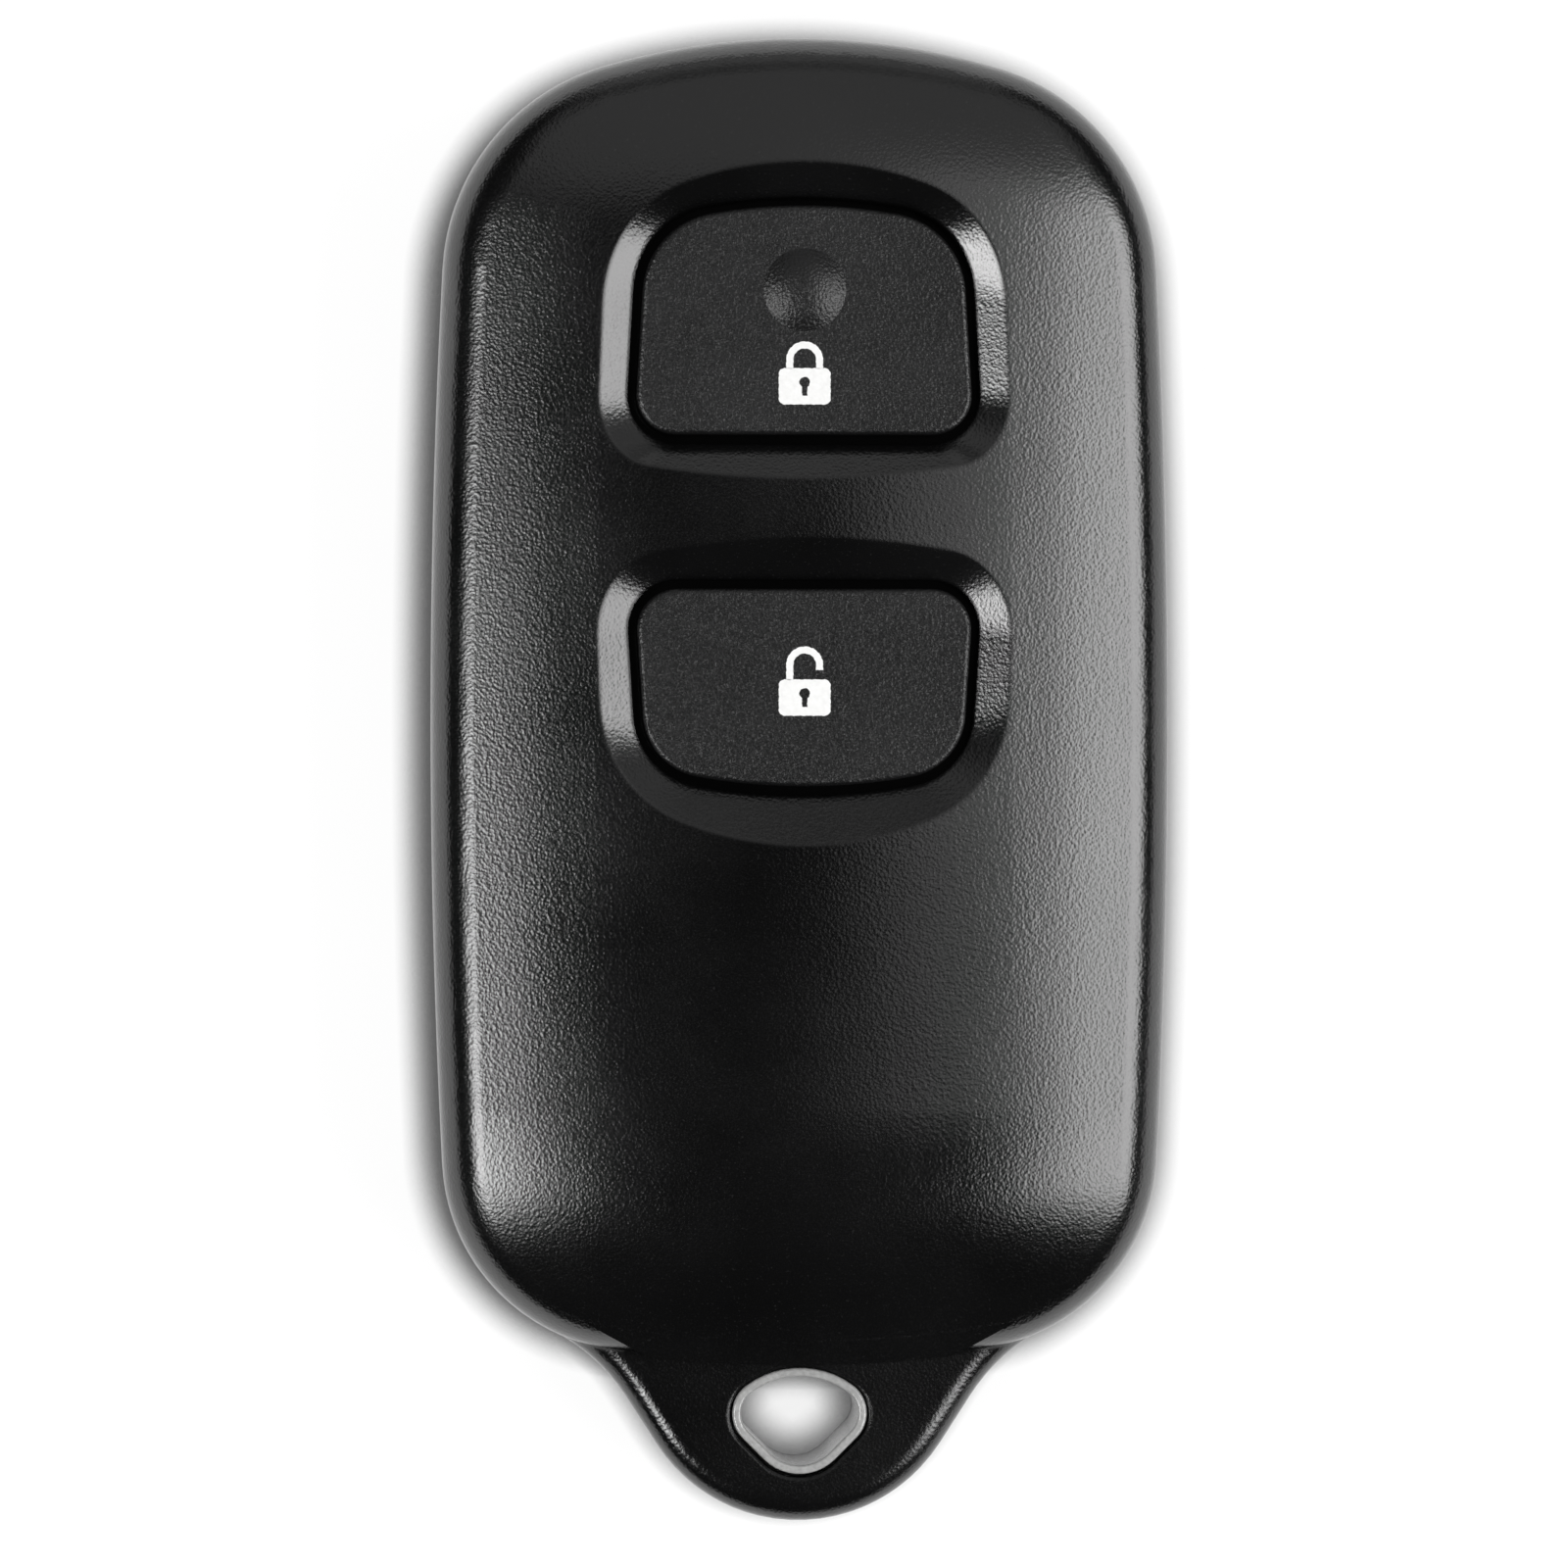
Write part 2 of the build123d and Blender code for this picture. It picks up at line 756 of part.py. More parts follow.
def screws_piece():
    """Self-tapping screws, driven from under the board into the bosses."""
    with BuildPart() as screws:
        with BuildSketch(Plane.XY.offset(board_bottom - screw_head_height)):
            with Locations(*screw_places):
                Circle(screw_head_radius)
        extrude(amount=screw_head_height)
        with BuildSketch(Plane.XY.offset(board_bottom)):
            with Locations(*screw_places):
                Circle(screw_shank_radius)
        extrude(amount=screw_length)
        ends = screws.faces().filter_by(Axis.Z).group_by(Axis.Z)[-1]
        chamfer(ends.edges(), screw_shank_radius / 2)
        with BuildSketch(Plane.XY.offset(board_bottom - screw_head_height)):
            with Locations(*screw_places):
                Rectangle(2 * screw_shank_radius, screw_recess_width)
                Rectangle(screw_recess_width, 2 * screw_shank_radius)
        extrude(amount=screw_recess_depth, mode=Mode.SUBTRACT)
    screws.part.label = "board_screws"
    return screws.part


def switch_pieces(name, y):
    """One tactile switch: base, terminals, snap dome, plunger and metal cover."""
    floor = board_top + switch_floor
    rim = board_top + switch_base_height
    foot = floor + dome_foot_clearance
    with BuildPart() as base:
        with BuildSketch(Plane.XY.offset(board_top)):
            with Locations((0, y)):
                Rectangle(switch_side, switch_side)
        extrude(amount=switch_base_height)
        with BuildSketch(Plane.XY.offset(floor)):
            with Locations((0, y)):
                Circle(switch_well_radius)
        extrude(amount=switch_base_height, mode=Mode.SUBTRACT)
    base.part.label = f"{name}_switch_base"

    with BuildPart() as terminals:
        with BuildSketch(Plane.XY.offset(board_top)):
            with Locations((0, y)):
                with GridLocations(switch_side + terminal_reach, terminal_spacing, 2, 2):
                    Rectangle(terminal_reach, terminal_width)
        extrude(amount=terminal_thickness)
    terminals.part.label = f"{name}_switch_terminals"

    ball_radius = (dome_radius**2 + dome_height**2) / (2 * dome_height)
    base_angle = degrees(asin(1 - dome_height / ball_radius))
    with BuildPart() as dome:
        with Locations((0, y, foot)):
            Sphere(ball_radius, base_angle, align=(Align.CENTER, Align.CENTER, Align.MIN))
        with Locations((0, y, foot + dome_height - ball_radius)):
            Sphere(ball_radius - dome_thickness, mode=Mode.SUBTRACT)
    dome.part.label = f"{name}_snap_dome"

    flange_top_z = rim - switch_fit
    flange_low_z = flange_top_z - plunger_flange_thickness
    nub_z = foot + dome_height + dome_foot_clearance
    with BuildPart() as plunger:
        for radius, low, high in [
            (plunger_nub_radius, nub_z, flange_low_z),
            (plunger_flange_radius, flange_low_z, flange_top_z),
            (plunger_radius, flange_top_z, plunger_top),
        ]:
            with BuildSketch(Plane.XY.offset(low)):
                with Locations((0, y)):
                    Circle(radius)
            extrude(amount=high - low)
    plunger.part.label = f"{name}_switch_plunger"

    with BuildPart() as cover:
        with BuildSketch(Plane.XY.offset(rim)):
            with Locations((0, y)):
                Rectangle(switch_side, switch_side)
                Circle(plunger_radius + switch_fit, mode=Mode.SUBTRACT)
        extrude(amount=switch_cover_thickness)
    cover.part.label = f"{name}_switch_cover"
    return [base.part, terminals.part, dome.part, plunger.part, cover.part]


def tube(name, bands):
    """Round piece of the cell made of stacked bands: inner and outer radius, low and high."""
    with BuildPart() as piece:
        for inner, outer, low, high in bands:
            with BuildSketch(Plane.XY.offset(low)):
                with Locations((0, cell_y)):
                    Circle(outer)
                    if inner:
                        Circle(inner, mode=Mode.SUBTRACT)
            extrude(amount=high - low)
    piece.part.label = name
    return piece.part


def cell_pieces():
    """Coin cell: can, cap, gasket between them and the electrodes inside."""
    can_inner = cell_radius - cell_skin
    cap_inner = cell_cap_radius - cell_skin
    low_deck = cell_bottom + cell_skin
    high_deck = cell_top - cell_skin
    can_rim = cell_top - cell_skin / 2
    can_bands = [
        (0, cell_radius, cell_bottom, low_deck),
        (can_inner, cell_radius, low_deck, can_rim),
    ]
    cap_bands = [
        (cap_inner, cell_cap_radius, low_deck + cell_skin, high_deck),
        (0, cell_cap_radius, high_deck, cell_top),
    ]
    return [
        tube("cell_can", can_bands),
        tube("cell_cap", cap_bands),
        tube("cell_gasket", [(cell_cap_radius + cell_fit, can_inner - cell_fit, low_deck, high_deck)]),
        tube("cell_electrodes", [(0, cap_inner - cell_fit, low_deck, high_deck - cell_fit)]),
    ]


def contact_pieces():
    """Cell contacts under the board: a side arm for the can and a leaf for the cap."""
    deck = board_bottom - contact_thickness / 2
    arm_x = cell_radius + contact_clearance + contact_thickness / 2
    with BuildPart() as positive:
        with BuildSketch(Plane.XZ.offset(-cell_y)):
            with BuildLine():
                Polyline((contact_edge_x, deck), (arm_x, deck), (arm_x, cell_bottom + cell_skin))
            trace(line_width=contact_thickness)
        extrude(amount=contact_width / 2, both=True)
    positive.part.label = "positive_contact"

    touch = cell_top + contact_clearance + contact_thickness / 2
    with BuildPart() as negative:
        with BuildSketch(Plane.YZ):
            with BuildLine():
                Polyline(
                    (cell_y - leaf_length / 2 - contact_pad_length, deck),
                    (cell_y - leaf_length / 2, deck),
                    (cell_y + leaf_length / 2, touch),
                    (cell_y + leaf_length / 2 + leaf_tip, touch + leaf_tip_rise),
                )
            trace(line_width=contact_thickness)
        extrude(amount=contact_width / 2, both=True)
    negative.part.label = "negative_contact"
    return [positive.part, negative.part]


def package_pieces(name, y, length, width, legs):
    """Chip package across the board, and its two rows of legs."""
    low = board_top + package_standoff
    with BuildPart() as package:
        with BuildSketch(Plane.XY.offset(low)):
            with Locations((0, y)):
                Rectangle(length, width)
        extrude(amount=package_height)
        chamfer(package.faces().sort_by(Axis.Z)[-1].edges(), package_edge_chamfer)
    package.part.label = f"{name}_chip"

    shoulder = low + package_height / 2
    sole = board_top + leg_thickness / 2
    knee = width / 2 + leg_reach - leg_foot
    with BuildPart() as rows:
        for place in range(legs):
            x = (place - (legs - 1) / 2) * leg_pitch
            for side in (-1, 1):
                with BuildSketch(Plane.YZ.offset(x)):
                    with BuildLine():
                        Polyline(
                            (y + side * width / 2, shoulder),
                            (y + side * knee, shoulder),
                            (y + side * knee, sole),
                            (y + side * (knee + leg_foot), sole),
                        )
                    trace(line_width=leg_thickness)
                extrude(amount=leg_width / 2, both=True)
    rows.part.label = f"{name}_legs"
    return [package.part, rows.part]


def resonator_piece():
    """Radio resonator: a can with a rim round its foot."""
    with BuildPart() as can:
        for spread, height in [(resonator_rim, resonator_rim_height), (0, resonator_height)]:
            with BuildSketch(Plane.XY.offset(board_top)):
                with Locations((resonator_x, resonator_y)):
                    RectangleRounded(
                        resonator_side + 2 * spread, resonator_side + 2 * spread, resonator_rim + spread
                    )
            extrude(amount=height)
    can.part.label = "radio_resonator"
    return can.part


def trimmer_pieces():
    """Trimmer capacitor: a base and a slotted rotor."""
    with BuildPart() as base:
        with BuildSketch(Plane.XY.offset(board_top)):
            with Locations((-resonator_x, resonator_y)):
                Rectangle(trimmer_length, trimmer_width)
        extrude(amount=trimmer_height)
    base.part.label = "trimmer_base"

    rotor_top = board_top + trimmer_height + trimmer_rotor_height
    with BuildPart() as rotor:
        with BuildSketch(Plane.XY.offset(board_top + trimmer_height)):
            with Locations((-resonator_x, resonator_y)):
                Circle(trimmer_rotor_radius)
        extrude(amount=trimmer_rotor_height)
        with BuildSketch(Plane.XY.offset(rotor_top)):
            with Locations((-resonator_x, resonator_y)):
                Rectangle(2 * trimmer_rotor_radius, trimmer_slot_width)
        extrude(amount=-trimmer_slot_depth, mode=Mode.SUBTRACT)
    rotor.part.label = "trimmer_rotor"
    return [base.part, rotor.part]


def antenna_piece():
    """Loop antenna: a flat strip round the lower edge of the board."""
    with BuildPart() as antenna:
        with BuildSketch(Plane.XY.offset(board_top)):
            add(body_plan(antenna_inset))
            add(body_plan(antenna_inset + antenna_width), mode=Mode.SUBTRACT)
            with Locations((0, antenna_top_y)):
                Rectangle(
                    overall_width, overall_length, align=(Align.CENTER, Align.MIN), mode=Mode.SUBTRACT
                )
        extrude(amount=antenna_thickness)
    antenna.part.label = "loop_antenna"
    return antenna.part


def small_chips_piece(name, places, length, width, height):
    """A group of like small chips on the board."""
    with BuildPart() as chips:
        with BuildSketch(Plane.XY.offset(board_top)):
            with Locations(*places):
                Rectangle(length, width)
        extrude(amount=height)
    chips.part.label = name
    return chips.part


pieces = [front_cover_piece(), rear_cover_piece(), pad_piece(), board_piece(), screws_piece()]
for key_name, (key_cap, _) in keys.items():
    pieces.append(button_piece(key_name, key_cap))
    pieces.extend(switch_pieces(key_name, key_cap.middle_y))
pieces.extend(cell_pieces())
pieces.extend(contact_pieces())
pieces.extend(package_pieces("encoder", encoder_y, encoder_length, encoder_width, encoder_legs))
pieces.extend(package_pieces("memory", memory_y, memory_length, memory_width, memory_legs))
pieces.append(resonator_piece())
pieces.extend(trimmer_pieces())
pieces.append(antenna_piece())
for name, places, length, width, height in [
    ("chip_resistors", resistor_places, chip_length, chip_width, resistor_height),
    ("chip_capacitors", capacitor_places, chip_length, chip_width, capacitor_height),
    ("transistors", transistor_places, transistor_length, transistor_width, transistor_height),
]:
    pieces.append(small_chips_piece(name, places, length, width, height))

os.makedirs("parts", exist_ok=True)
for piece in pieces:
    export_step(piece, f"parts/{piece.label}.step")
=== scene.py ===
import json
import math

import bpy
from mathutils import Matrix, Vector


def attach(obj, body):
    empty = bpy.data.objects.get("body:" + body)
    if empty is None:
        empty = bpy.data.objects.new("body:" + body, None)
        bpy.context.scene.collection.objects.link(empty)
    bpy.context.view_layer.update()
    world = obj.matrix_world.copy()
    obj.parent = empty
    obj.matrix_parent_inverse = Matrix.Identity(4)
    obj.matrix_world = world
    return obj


MM = 0.001

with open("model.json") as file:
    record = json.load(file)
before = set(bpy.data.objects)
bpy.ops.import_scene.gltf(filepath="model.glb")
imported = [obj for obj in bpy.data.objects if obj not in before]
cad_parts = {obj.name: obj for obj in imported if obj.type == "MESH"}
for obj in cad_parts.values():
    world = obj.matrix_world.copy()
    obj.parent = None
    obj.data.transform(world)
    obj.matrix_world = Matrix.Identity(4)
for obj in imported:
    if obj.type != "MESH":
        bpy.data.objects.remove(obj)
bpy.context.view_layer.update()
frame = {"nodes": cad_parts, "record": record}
nodes = frame["nodes"]


# ---------------------------------------------------------------- materials


class Shader:
    """A node material, with short calls for the nodes that it uses."""

    def __init__(self, name):
        self.material = bpy.data.materials.new(name)
        self.material.use_nodes = True
        self.tree = self.material.node_tree
        self.tree.nodes.clear()
        self.out = self.tree.nodes.new("ShaderNodeOutputMaterial")
        self.bsdf = self.tree.nodes.new("ShaderNodeBsdfPrincipled")
        self.link(self.bsdf.outputs["BSDF"], self.out.inputs["Surface"])
        self.place = self.tree.nodes.new("ShaderNodeTexCoord").outputs["Object"]

    def link(self, source, target):
        self.tree.links.new(source, target)

    def noise(self, size_mm, detail=2.0, rough=0.5, stretch=None):
        """Noise whose features are about that many millimetres across."""
        node = self.tree.nodes.new("ShaderNodeTexNoise")
        node.inputs["Scale"].default_value = 1.0 / (size_mm * MM)
        node.inputs["Detail"].default_value = detail
        node.inputs["Roughness"].default_value = rough
        place = self.place
        if stretch:
            mapping = self.tree.nodes.new("ShaderNodeMapping")
            mapping.inputs["Scale"].default_value = stretch
            self.link(place, mapping.inputs["Vector"])
            place = mapping.outputs["Vector"]
        self.link(place, node.inputs["Vector"])
        return node.outputs["Fac"]

    def cells(self, size_mm):
        """Rounded cells about that many millimetres across."""
        node = self.tree.nodes.new("ShaderNodeTexVoronoi")
        node.feature = "SMOOTH_F1"
        node.inputs["Scale"].default_value = 1.0 / (size_mm * MM)
        node.inputs["Smoothness"].default_value = 0.6
        self.link(self.place, node.inputs["Vector"])
        return node.outputs["Distance"]

    def math(self, operation, a, b):
        """A math node on two numbers or sources of numbers."""
        node = self.tree.nodes.new("ShaderNodeMath")
        node.operation = operation
        for socket, value in zip(node.inputs, (a, b)):
            if isinstance(value, (int, float)):
                socket.default_value = value
            else:
                self.link(value, socket)
        return node.outputs[0]

    def spread(self, factor, low, high, start=0.3, end=0.7):
        """A factor mapped from start..end to low..high."""
        node = self.tree.nodes.new("ShaderNodeMapRange")
        node.inputs["From Min"].default_value = start
        node.inputs["From Max"].default_value = end
        node.inputs["To Min"].default_value = low
        node.inputs["To Max"].default_value = high
        self.link(factor, node.inputs["Value"])
        return node.outputs["Result"]

    def blend(self, factor, low, high):
        """Two colours, or sources of colour, mixed by a factor."""
        node = self.tree.nodes.new("ShaderNodeMix")
        node.data_type = "RGBA"
        self.link(factor, node.inputs["Factor"])
        for socket, value in ((node.inputs[6], low), (node.inputs[7], high)):
            if isinstance(value, tuple):
                socket.default_value = (*value, 1.0)
            else:
                self.link(value, socket)
        return node.outputs[2]

    def bump(self, height, depth_mm, under=None):
        """Normals of a skin that deep, laid over the normals given as under."""
        node = self.tree.nodes.new("ShaderNodeBump")
        node.inputs["Strength"].default_value = 1.0
        node.inputs["Distance"].default_value = depth_mm * MM
        self.link(height, node.inputs["Height"])
        if under is not None:
            self.link(under, node.inputs["Normal"])
        return node.outputs["Normal"]


def grained_plastic(name, colour, roughness, grain_mm, depth_mm, ior, under=None):
    """Moulded plastic: two sizes of rounded grain, slow smudges and a few bright specks."""
    s = Shader(name)
    coarse = s.cells(grain_mm)
    fine = s.noise(grain_mm * 0.55, detail=3.0, rough=0.6)
    smudge = s.noise(9.0, detail=3.0, rough=0.55)
    speck = s.noise(grain_mm * 0.8, detail=1.0, rough=0.4)
    light = tuple(c * 1.4 for c in colour)
    dark = tuple(c * 0.75 for c in colour)
    body = s.blend(s.spread(smudge, 0.0, 1.0), dark, light)
    dust = tuple(min(1.0, c + 0.015) for c in colour)
    dusty = s.spread(speck, 0.0, 0.8, 0.68, 0.8)
    s.link(s.blend(dusty, body, dust), s.bsdf.inputs["Base Color"])
    slow = s.spread(smudge, -0.035, 0.035)
    quick = s.spread(fine, roughness - 0.06, roughness + 0.06)
    s.link(s.math("ADD", slow, quick), s.bsdf.inputs["Roughness"])
    s.bsdf.inputs["IOR"].default_value = ior
    height = s.math("ADD", coarse, s.math("MULTIPLY", fine, 0.7))
    s.link(s.bump(height, depth_mm, under=under and under(s)), s.bsdf.inputs["Normal"])
    return s


def soft_edges(radius_mm):
    """Normals that run round an edge, as the small radius of a moulded edge does."""
    def normals(s):
        node = s.tree.nodes.new("ShaderNodeBevel")
        node.samples = 4
        node.inputs["Radius"].default_value = radius_mm * MM
        return node.outputs["Normal"]
    return normals


def height_mask(s, low_mm, high_mm):
    """0 under the lower height and 1 over the upper one."""
    split = s.tree.nodes.new("ShaderNodeSeparateXYZ")
    s.link(s.place, split.inputs["Vector"])
    return s.spread(split.outputs["Z"], 0.0, 1.0, low_mm * MM, high_mm * MM)


def paint_eye_highlight(s, low_mm, high_mm, colour, centre_mm, reach_mm):
    """Paints the plastic near the eye paler from a height up: a painted highlight for the
    light that the collar's wall reflects.
    """
    patch = s.spread(s.noise(0.2, detail=3.0), 0.75, 1.0)
    away = s.tree.nodes.new("ShaderNodeVectorMath")
    away.operation = "DISTANCE"
    s.link(s.place, away.inputs[0])
    away.inputs[1].default_value = tuple(c * MM for c in centre_mm)
    near = s.spread(away.outputs["Value"], 1.0, 0.0, reach_mm * MM, (reach_mm + 0.2) * MM)
    mask = s.math("MULTIPLY", s.math("MULTIPLY", height_mask(s, low_mm, high_mm), near), patch)
    target = s.bsdf.inputs["Base Color"]
    s.link(s.blend(mask, target.links[0].from_socket, colour), target)


def paint_gap_shade_below(s, low_mm, high_mm):
    """Paints the skin under a height black, as painted shade in the gap round the key, and
    leaves it smooth and without grain.
    """
    mask = height_mask(s, low_mm, high_mm)
    colour = s.bsdf.inputs["Base Color"]
    s.link(s.blend(mask, (0.001, 0.001, 0.001), colour.links[0].from_socket), colour)
    rough = s.bsdf.inputs["Roughness"]
    s.link(s.math("ADD", s.math("MULTIPLY", mask, rough.links[0].from_socket), 0.1), rough)
    bump = s.bsdf.inputs["Normal"].links[0].from_node
    s.link(mask, bump.inputs["Strength"])


def plain_plastic(name, colour, roughness):
    """Small moulding: fine matt skin with a slow change of tone."""
    s = Shader(name)
    tone = s.noise(1.6, detail=3.0)
    skin = s.noise(0.12)
    low = tuple(c * 0.82 for c in colour)
    high = tuple(min(1.0, c * 1.12) for c in colour)
    s.link(s.blend(s.spread(tone, 0.0, 1.0), low, high), s.bsdf.inputs["Base Color"])
    s.link(s.spread(skin, roughness - 0.07, roughness + 0.07), s.bsdf.inputs["Roughness"])
    s.link(s.bump(skin, 0.006), s.bsdf.inputs["Normal"])
    return s


def metal(name, colour, roughness, stretch=(1.0, 1.0, 1.0)):
    """Metal strip or can: drawn streaks, stains and small dents."""
    s = Shader(name)
    streak = s.noise(0.1, detail=4.0, rough=0.6, stretch=stretch)
    stain = s.noise(2.2, detail=3.0)
    low = tuple(c * 0.86 for c in colour)
    s.link(s.blend(s.spread(stain, 0.0, 1.0), low, colour), s.bsdf.inputs["Base Color"])
    s.link(s.spread(streak, roughness - 0.09, roughness + 0.09), s.bsdf.inputs["Roughness"])
    s.bsdf.inputs["Metallic"].default_value = 1.0
    s.link(s.bump(streak, 0.003), s.bsdf.inputs["Normal"])
    return s


def rubber(name, colour):
    """Satin silicone with a bloom and fine pits."""
    s = Shader(name)
    bloom = s.noise(3.0, detail=4.0)
    pits = s.noise(0.09)
    high = tuple(c * 1.3 for c in colour)
    s.link(s.blend(s.spread(bloom, 0.0, 1.0), colour, high), s.bsdf.inputs["Base Color"])
    s.link(s.spread(bloom, 0.5, 0.66), s.bsdf.inputs["Roughness"])
    s.link(s.bump(pits, 0.005), s.bsdf.inputs["Normal"])
    return s


def laminate(name):
    """Solder mask over a woven glass board."""
    s = Shader(name)
    waves = []
    for stretch in ((1.0, 0.02, 1.0), (0.02, 1.0, 1.0)):
        waves.append(s.noise(0.35, detail=1.0, stretch=stretch))
    weave = s.math("ADD", waves[0], waves[1])
    mask = s.spread(weave, 0.0, 1.0, 0.7, 1.3)
    green = s.blend(mask, (0.012, 0.11, 0.045), (0.03, 0.19, 0.08))
    s.link(green, s.bsdf.inputs["Base Color"])
    s.link(s.spread(s.noise(4.0), 0.3, 0.45), s.bsdf.inputs["Roughness"])
    s.link(s.bump(weave, 0.004), s.bsdf.inputs["Normal"])
    return s


# Colour, roughness, grain in mm, its depth in mm and index of refraction.
CASE_SKIN = ((0.0022, 0.0022, 0.0023), 0.17, 0.155, 0.009, 1.7)
KEY_SKIN = ((0.005, 0.005, 0.0052), 0.19, 0.14, 0.029, 1.5)
WELL_LIP = 0.3

# Colour and heights of the painted highlight on the collar round the eye.
EYE_HIGHLIGHT_COLOUR = (0.42, 0.42, 0.415)
EYE_HIGHLIGHT_FROM, EYE_HIGHLIGHT_TO = 1.9, 2.3
EYE_CENTRE = (0.0, -31.2, 4.4)
EYE_REACH = 4.5
# Heights where the key's painted gap shade gives way to grained skin.
KEY_GAP_SHADE_FROM, KEY_GAP_SHADE_TO = 11.2, 11.5

front_plastic = grained_plastic("front_plastic", *CASE_SKIN, soft_edges(WELL_LIP))
key_plastic = grained_plastic("key_plastic", *KEY_SKIN)
heel_plastic = grained_plastic("heel_plastic", *CASE_SKIN)
rear_plastic = grained_plastic("rear_plastic", *CASE_SKIN)

# Painted highlight on the collar round the eye.
paint_eye_highlight(rear_plastic, EYE_HIGHLIGHT_FROM, EYE_HIGHLIGHT_TO, EYE_HIGHLIGHT_COLOUR, EYE_CENTRE, EYE_REACH)
# Painted shade on the key's flange in the gap round it.
paint_gap_shade_below(key_plastic, KEY_GAP_SHADE_FROM, KEY_GAP_SHADE_TO)

looks = {
    "silicone": rubber("silicone", (0.1, 0.1, 0.105)),
    "board_laminate": laminate("board_laminate"),
    "steel": metal("zinc_steel", (0.6, 0.61, 0.63), 0.3),
    "spring_steel": metal("spring_strip", (0.7, 0.68, 0.62), 0.26, (1.0, 0.08, 1.0)),
    "switch_plastic": plain_plastic("switch_plastic", (0.03, 0.03, 0.031), 0.5),
    "plunger_plastic": plain_plastic("plunger_plastic", (0.7, 0.68, 0.6), 0.35),
    "tinned_metal": metal("tinned_leads", (0.7, 0.7, 0.69), 0.36),
    "cell_steel": metal("cell_steel", (0.66, 0.66, 0.67), 0.24, (1.0, 0.1, 1.0)),
    "gasket_plastic": plain_plastic("gasket_plastic", (0.2, 0.2, 0.22), 0.5),
    "electrode": plain_plastic("electrode", (0.07, 0.07, 0.07), 0.75),
    "chip_plastic": plain_plastic("chip_plastic", (0.03, 0.03, 0.031), 0.55),
    "ceramic_tan": plain_plastic("ceramic_tan", (0.5, 0.4, 0.27), 0.45),
    "ceramic_black": plain_plastic("ceramic_black", (0.035, 0.035, 0.035), 0.25),
    "trimmer_plastic": plain_plastic("trimmer_plastic", (0.5, 0.42, 0.3), 0.5),
    "brass": metal("brass", (0.78, 0.58, 0.28), 0.3),
    "copper": metal("tinned_copper", (0.8, 0.5, 0.36), 0.34, (0.2, 1.0, 1.0)),
}
slot_of = {part["node"]: part["material_slot"] for part in frame["record"]["subparts"]}
for name, obj in nodes.items():
    if name == "front_cover":
        look = front_plastic
    elif name == "rear_cover":
        look = rear_plastic
    elif slot_of[name] == "key_plastic":
        look = key_plastic
    else:
        look = looks[slot_of[name]]
    obj.data.materials.clear()
    obj.data.materials.append(look.material)


# ------------------------------------------------- printed signs on the keys

KEY_TOP = 12.2 * MM
PRINT = 0.012 * MM
EDGE_STEP = 0.09
EDGE_SWING = 0.018


def ink():
    """White pad print: slightly patchy, with a faint tooth from the grain below."""
    s = Shader("white_print")
    patch = s.noise(0.25, detail=3.0)
    white = s.blend(s.spread(patch, 0.0, 1.0), (0.84, 0.84, 0.83), (0.92, 0.92, 0.91))
    s.link(white, s.bsdf.inputs["Base Color"])
    s.link(s.spread(patch, 0.48, 0.62), s.bsdf.inputs["Roughness"])
    s.link(s.bump(s.noise(0.1), 0.004), s.bsdf.inputs["Normal"])
    return s


white_ink = ink()


def rough_edge(points):
    """A closed outline cut into short steps, each point pushed a little in or out."""
    fine = []
    for (ax, ay), (bx, by) in zip(points, points[1:] + points[:1]):
        length = math.hypot(bx - ax, by - ay)
        parts = max(1, round(length / EDGE_STEP))
        for i in range(parts):
            t = i / parts
            fine.append((ax + (bx - ax) * t, ay + (by - ay) * t))
    out = []
    for i, (x, y) in enumerate(fine):
        px, py = fine[i - 1]
        qx, qy = fine[(i + 1) % len(fine)]
        tx, ty = qx - px, qy - py
        size = math.hypot(tx, ty) or 1.0
        push = EDGE_SWING * (math.sin(i * 2.3) + math.sin(i * 5.1 + 1.7)) / 2
        out.append((x + ty / size * push, y - tx / size * push))
    return out


def arc(cx, cy, r, start, end, parts=20):
    """Points of an arc, in degrees."""
    angles = [math.radians(start + (end - start) * i / parts) for i in range(parts + 1)]
    return [(cx + r * math.cos(a), cy + r * math.sin(a)) for a in angles]


def rounded_box(cx, cy, w, h, r):
    """Outline of a box with rounded corners."""
    out = []
    for sx, sy, start in ((1, 1, 0), (-1, 1, 90), (-1, -1, 180), (1, -1, 270)):
        out += arc(cx + sx * (w / 2 - r), cy + sy * (h / 2 - r), r, start, start + 90, 6)
    return out


def shackle(cx, foot_y, straight, radius, bar, open_side):
    """U-shaped bar. With open_side its right leg ends short of the body."""
    inner, outer = radius - bar / 2, radius + bar / 2
    top = foot_y + straight
    right_foot = top - straight * 0.35 if open_side else foot_y
    points = [(cx + outer, right_foot)]
    points += arc(cx, top, outer, 0, 180)
    points += [(cx - outer, foot_y), (cx - inner, foot_y)]
    points += arc(cx, top, inner, 180, 0)
    points += [(cx + inner, right_foot)]
    return points


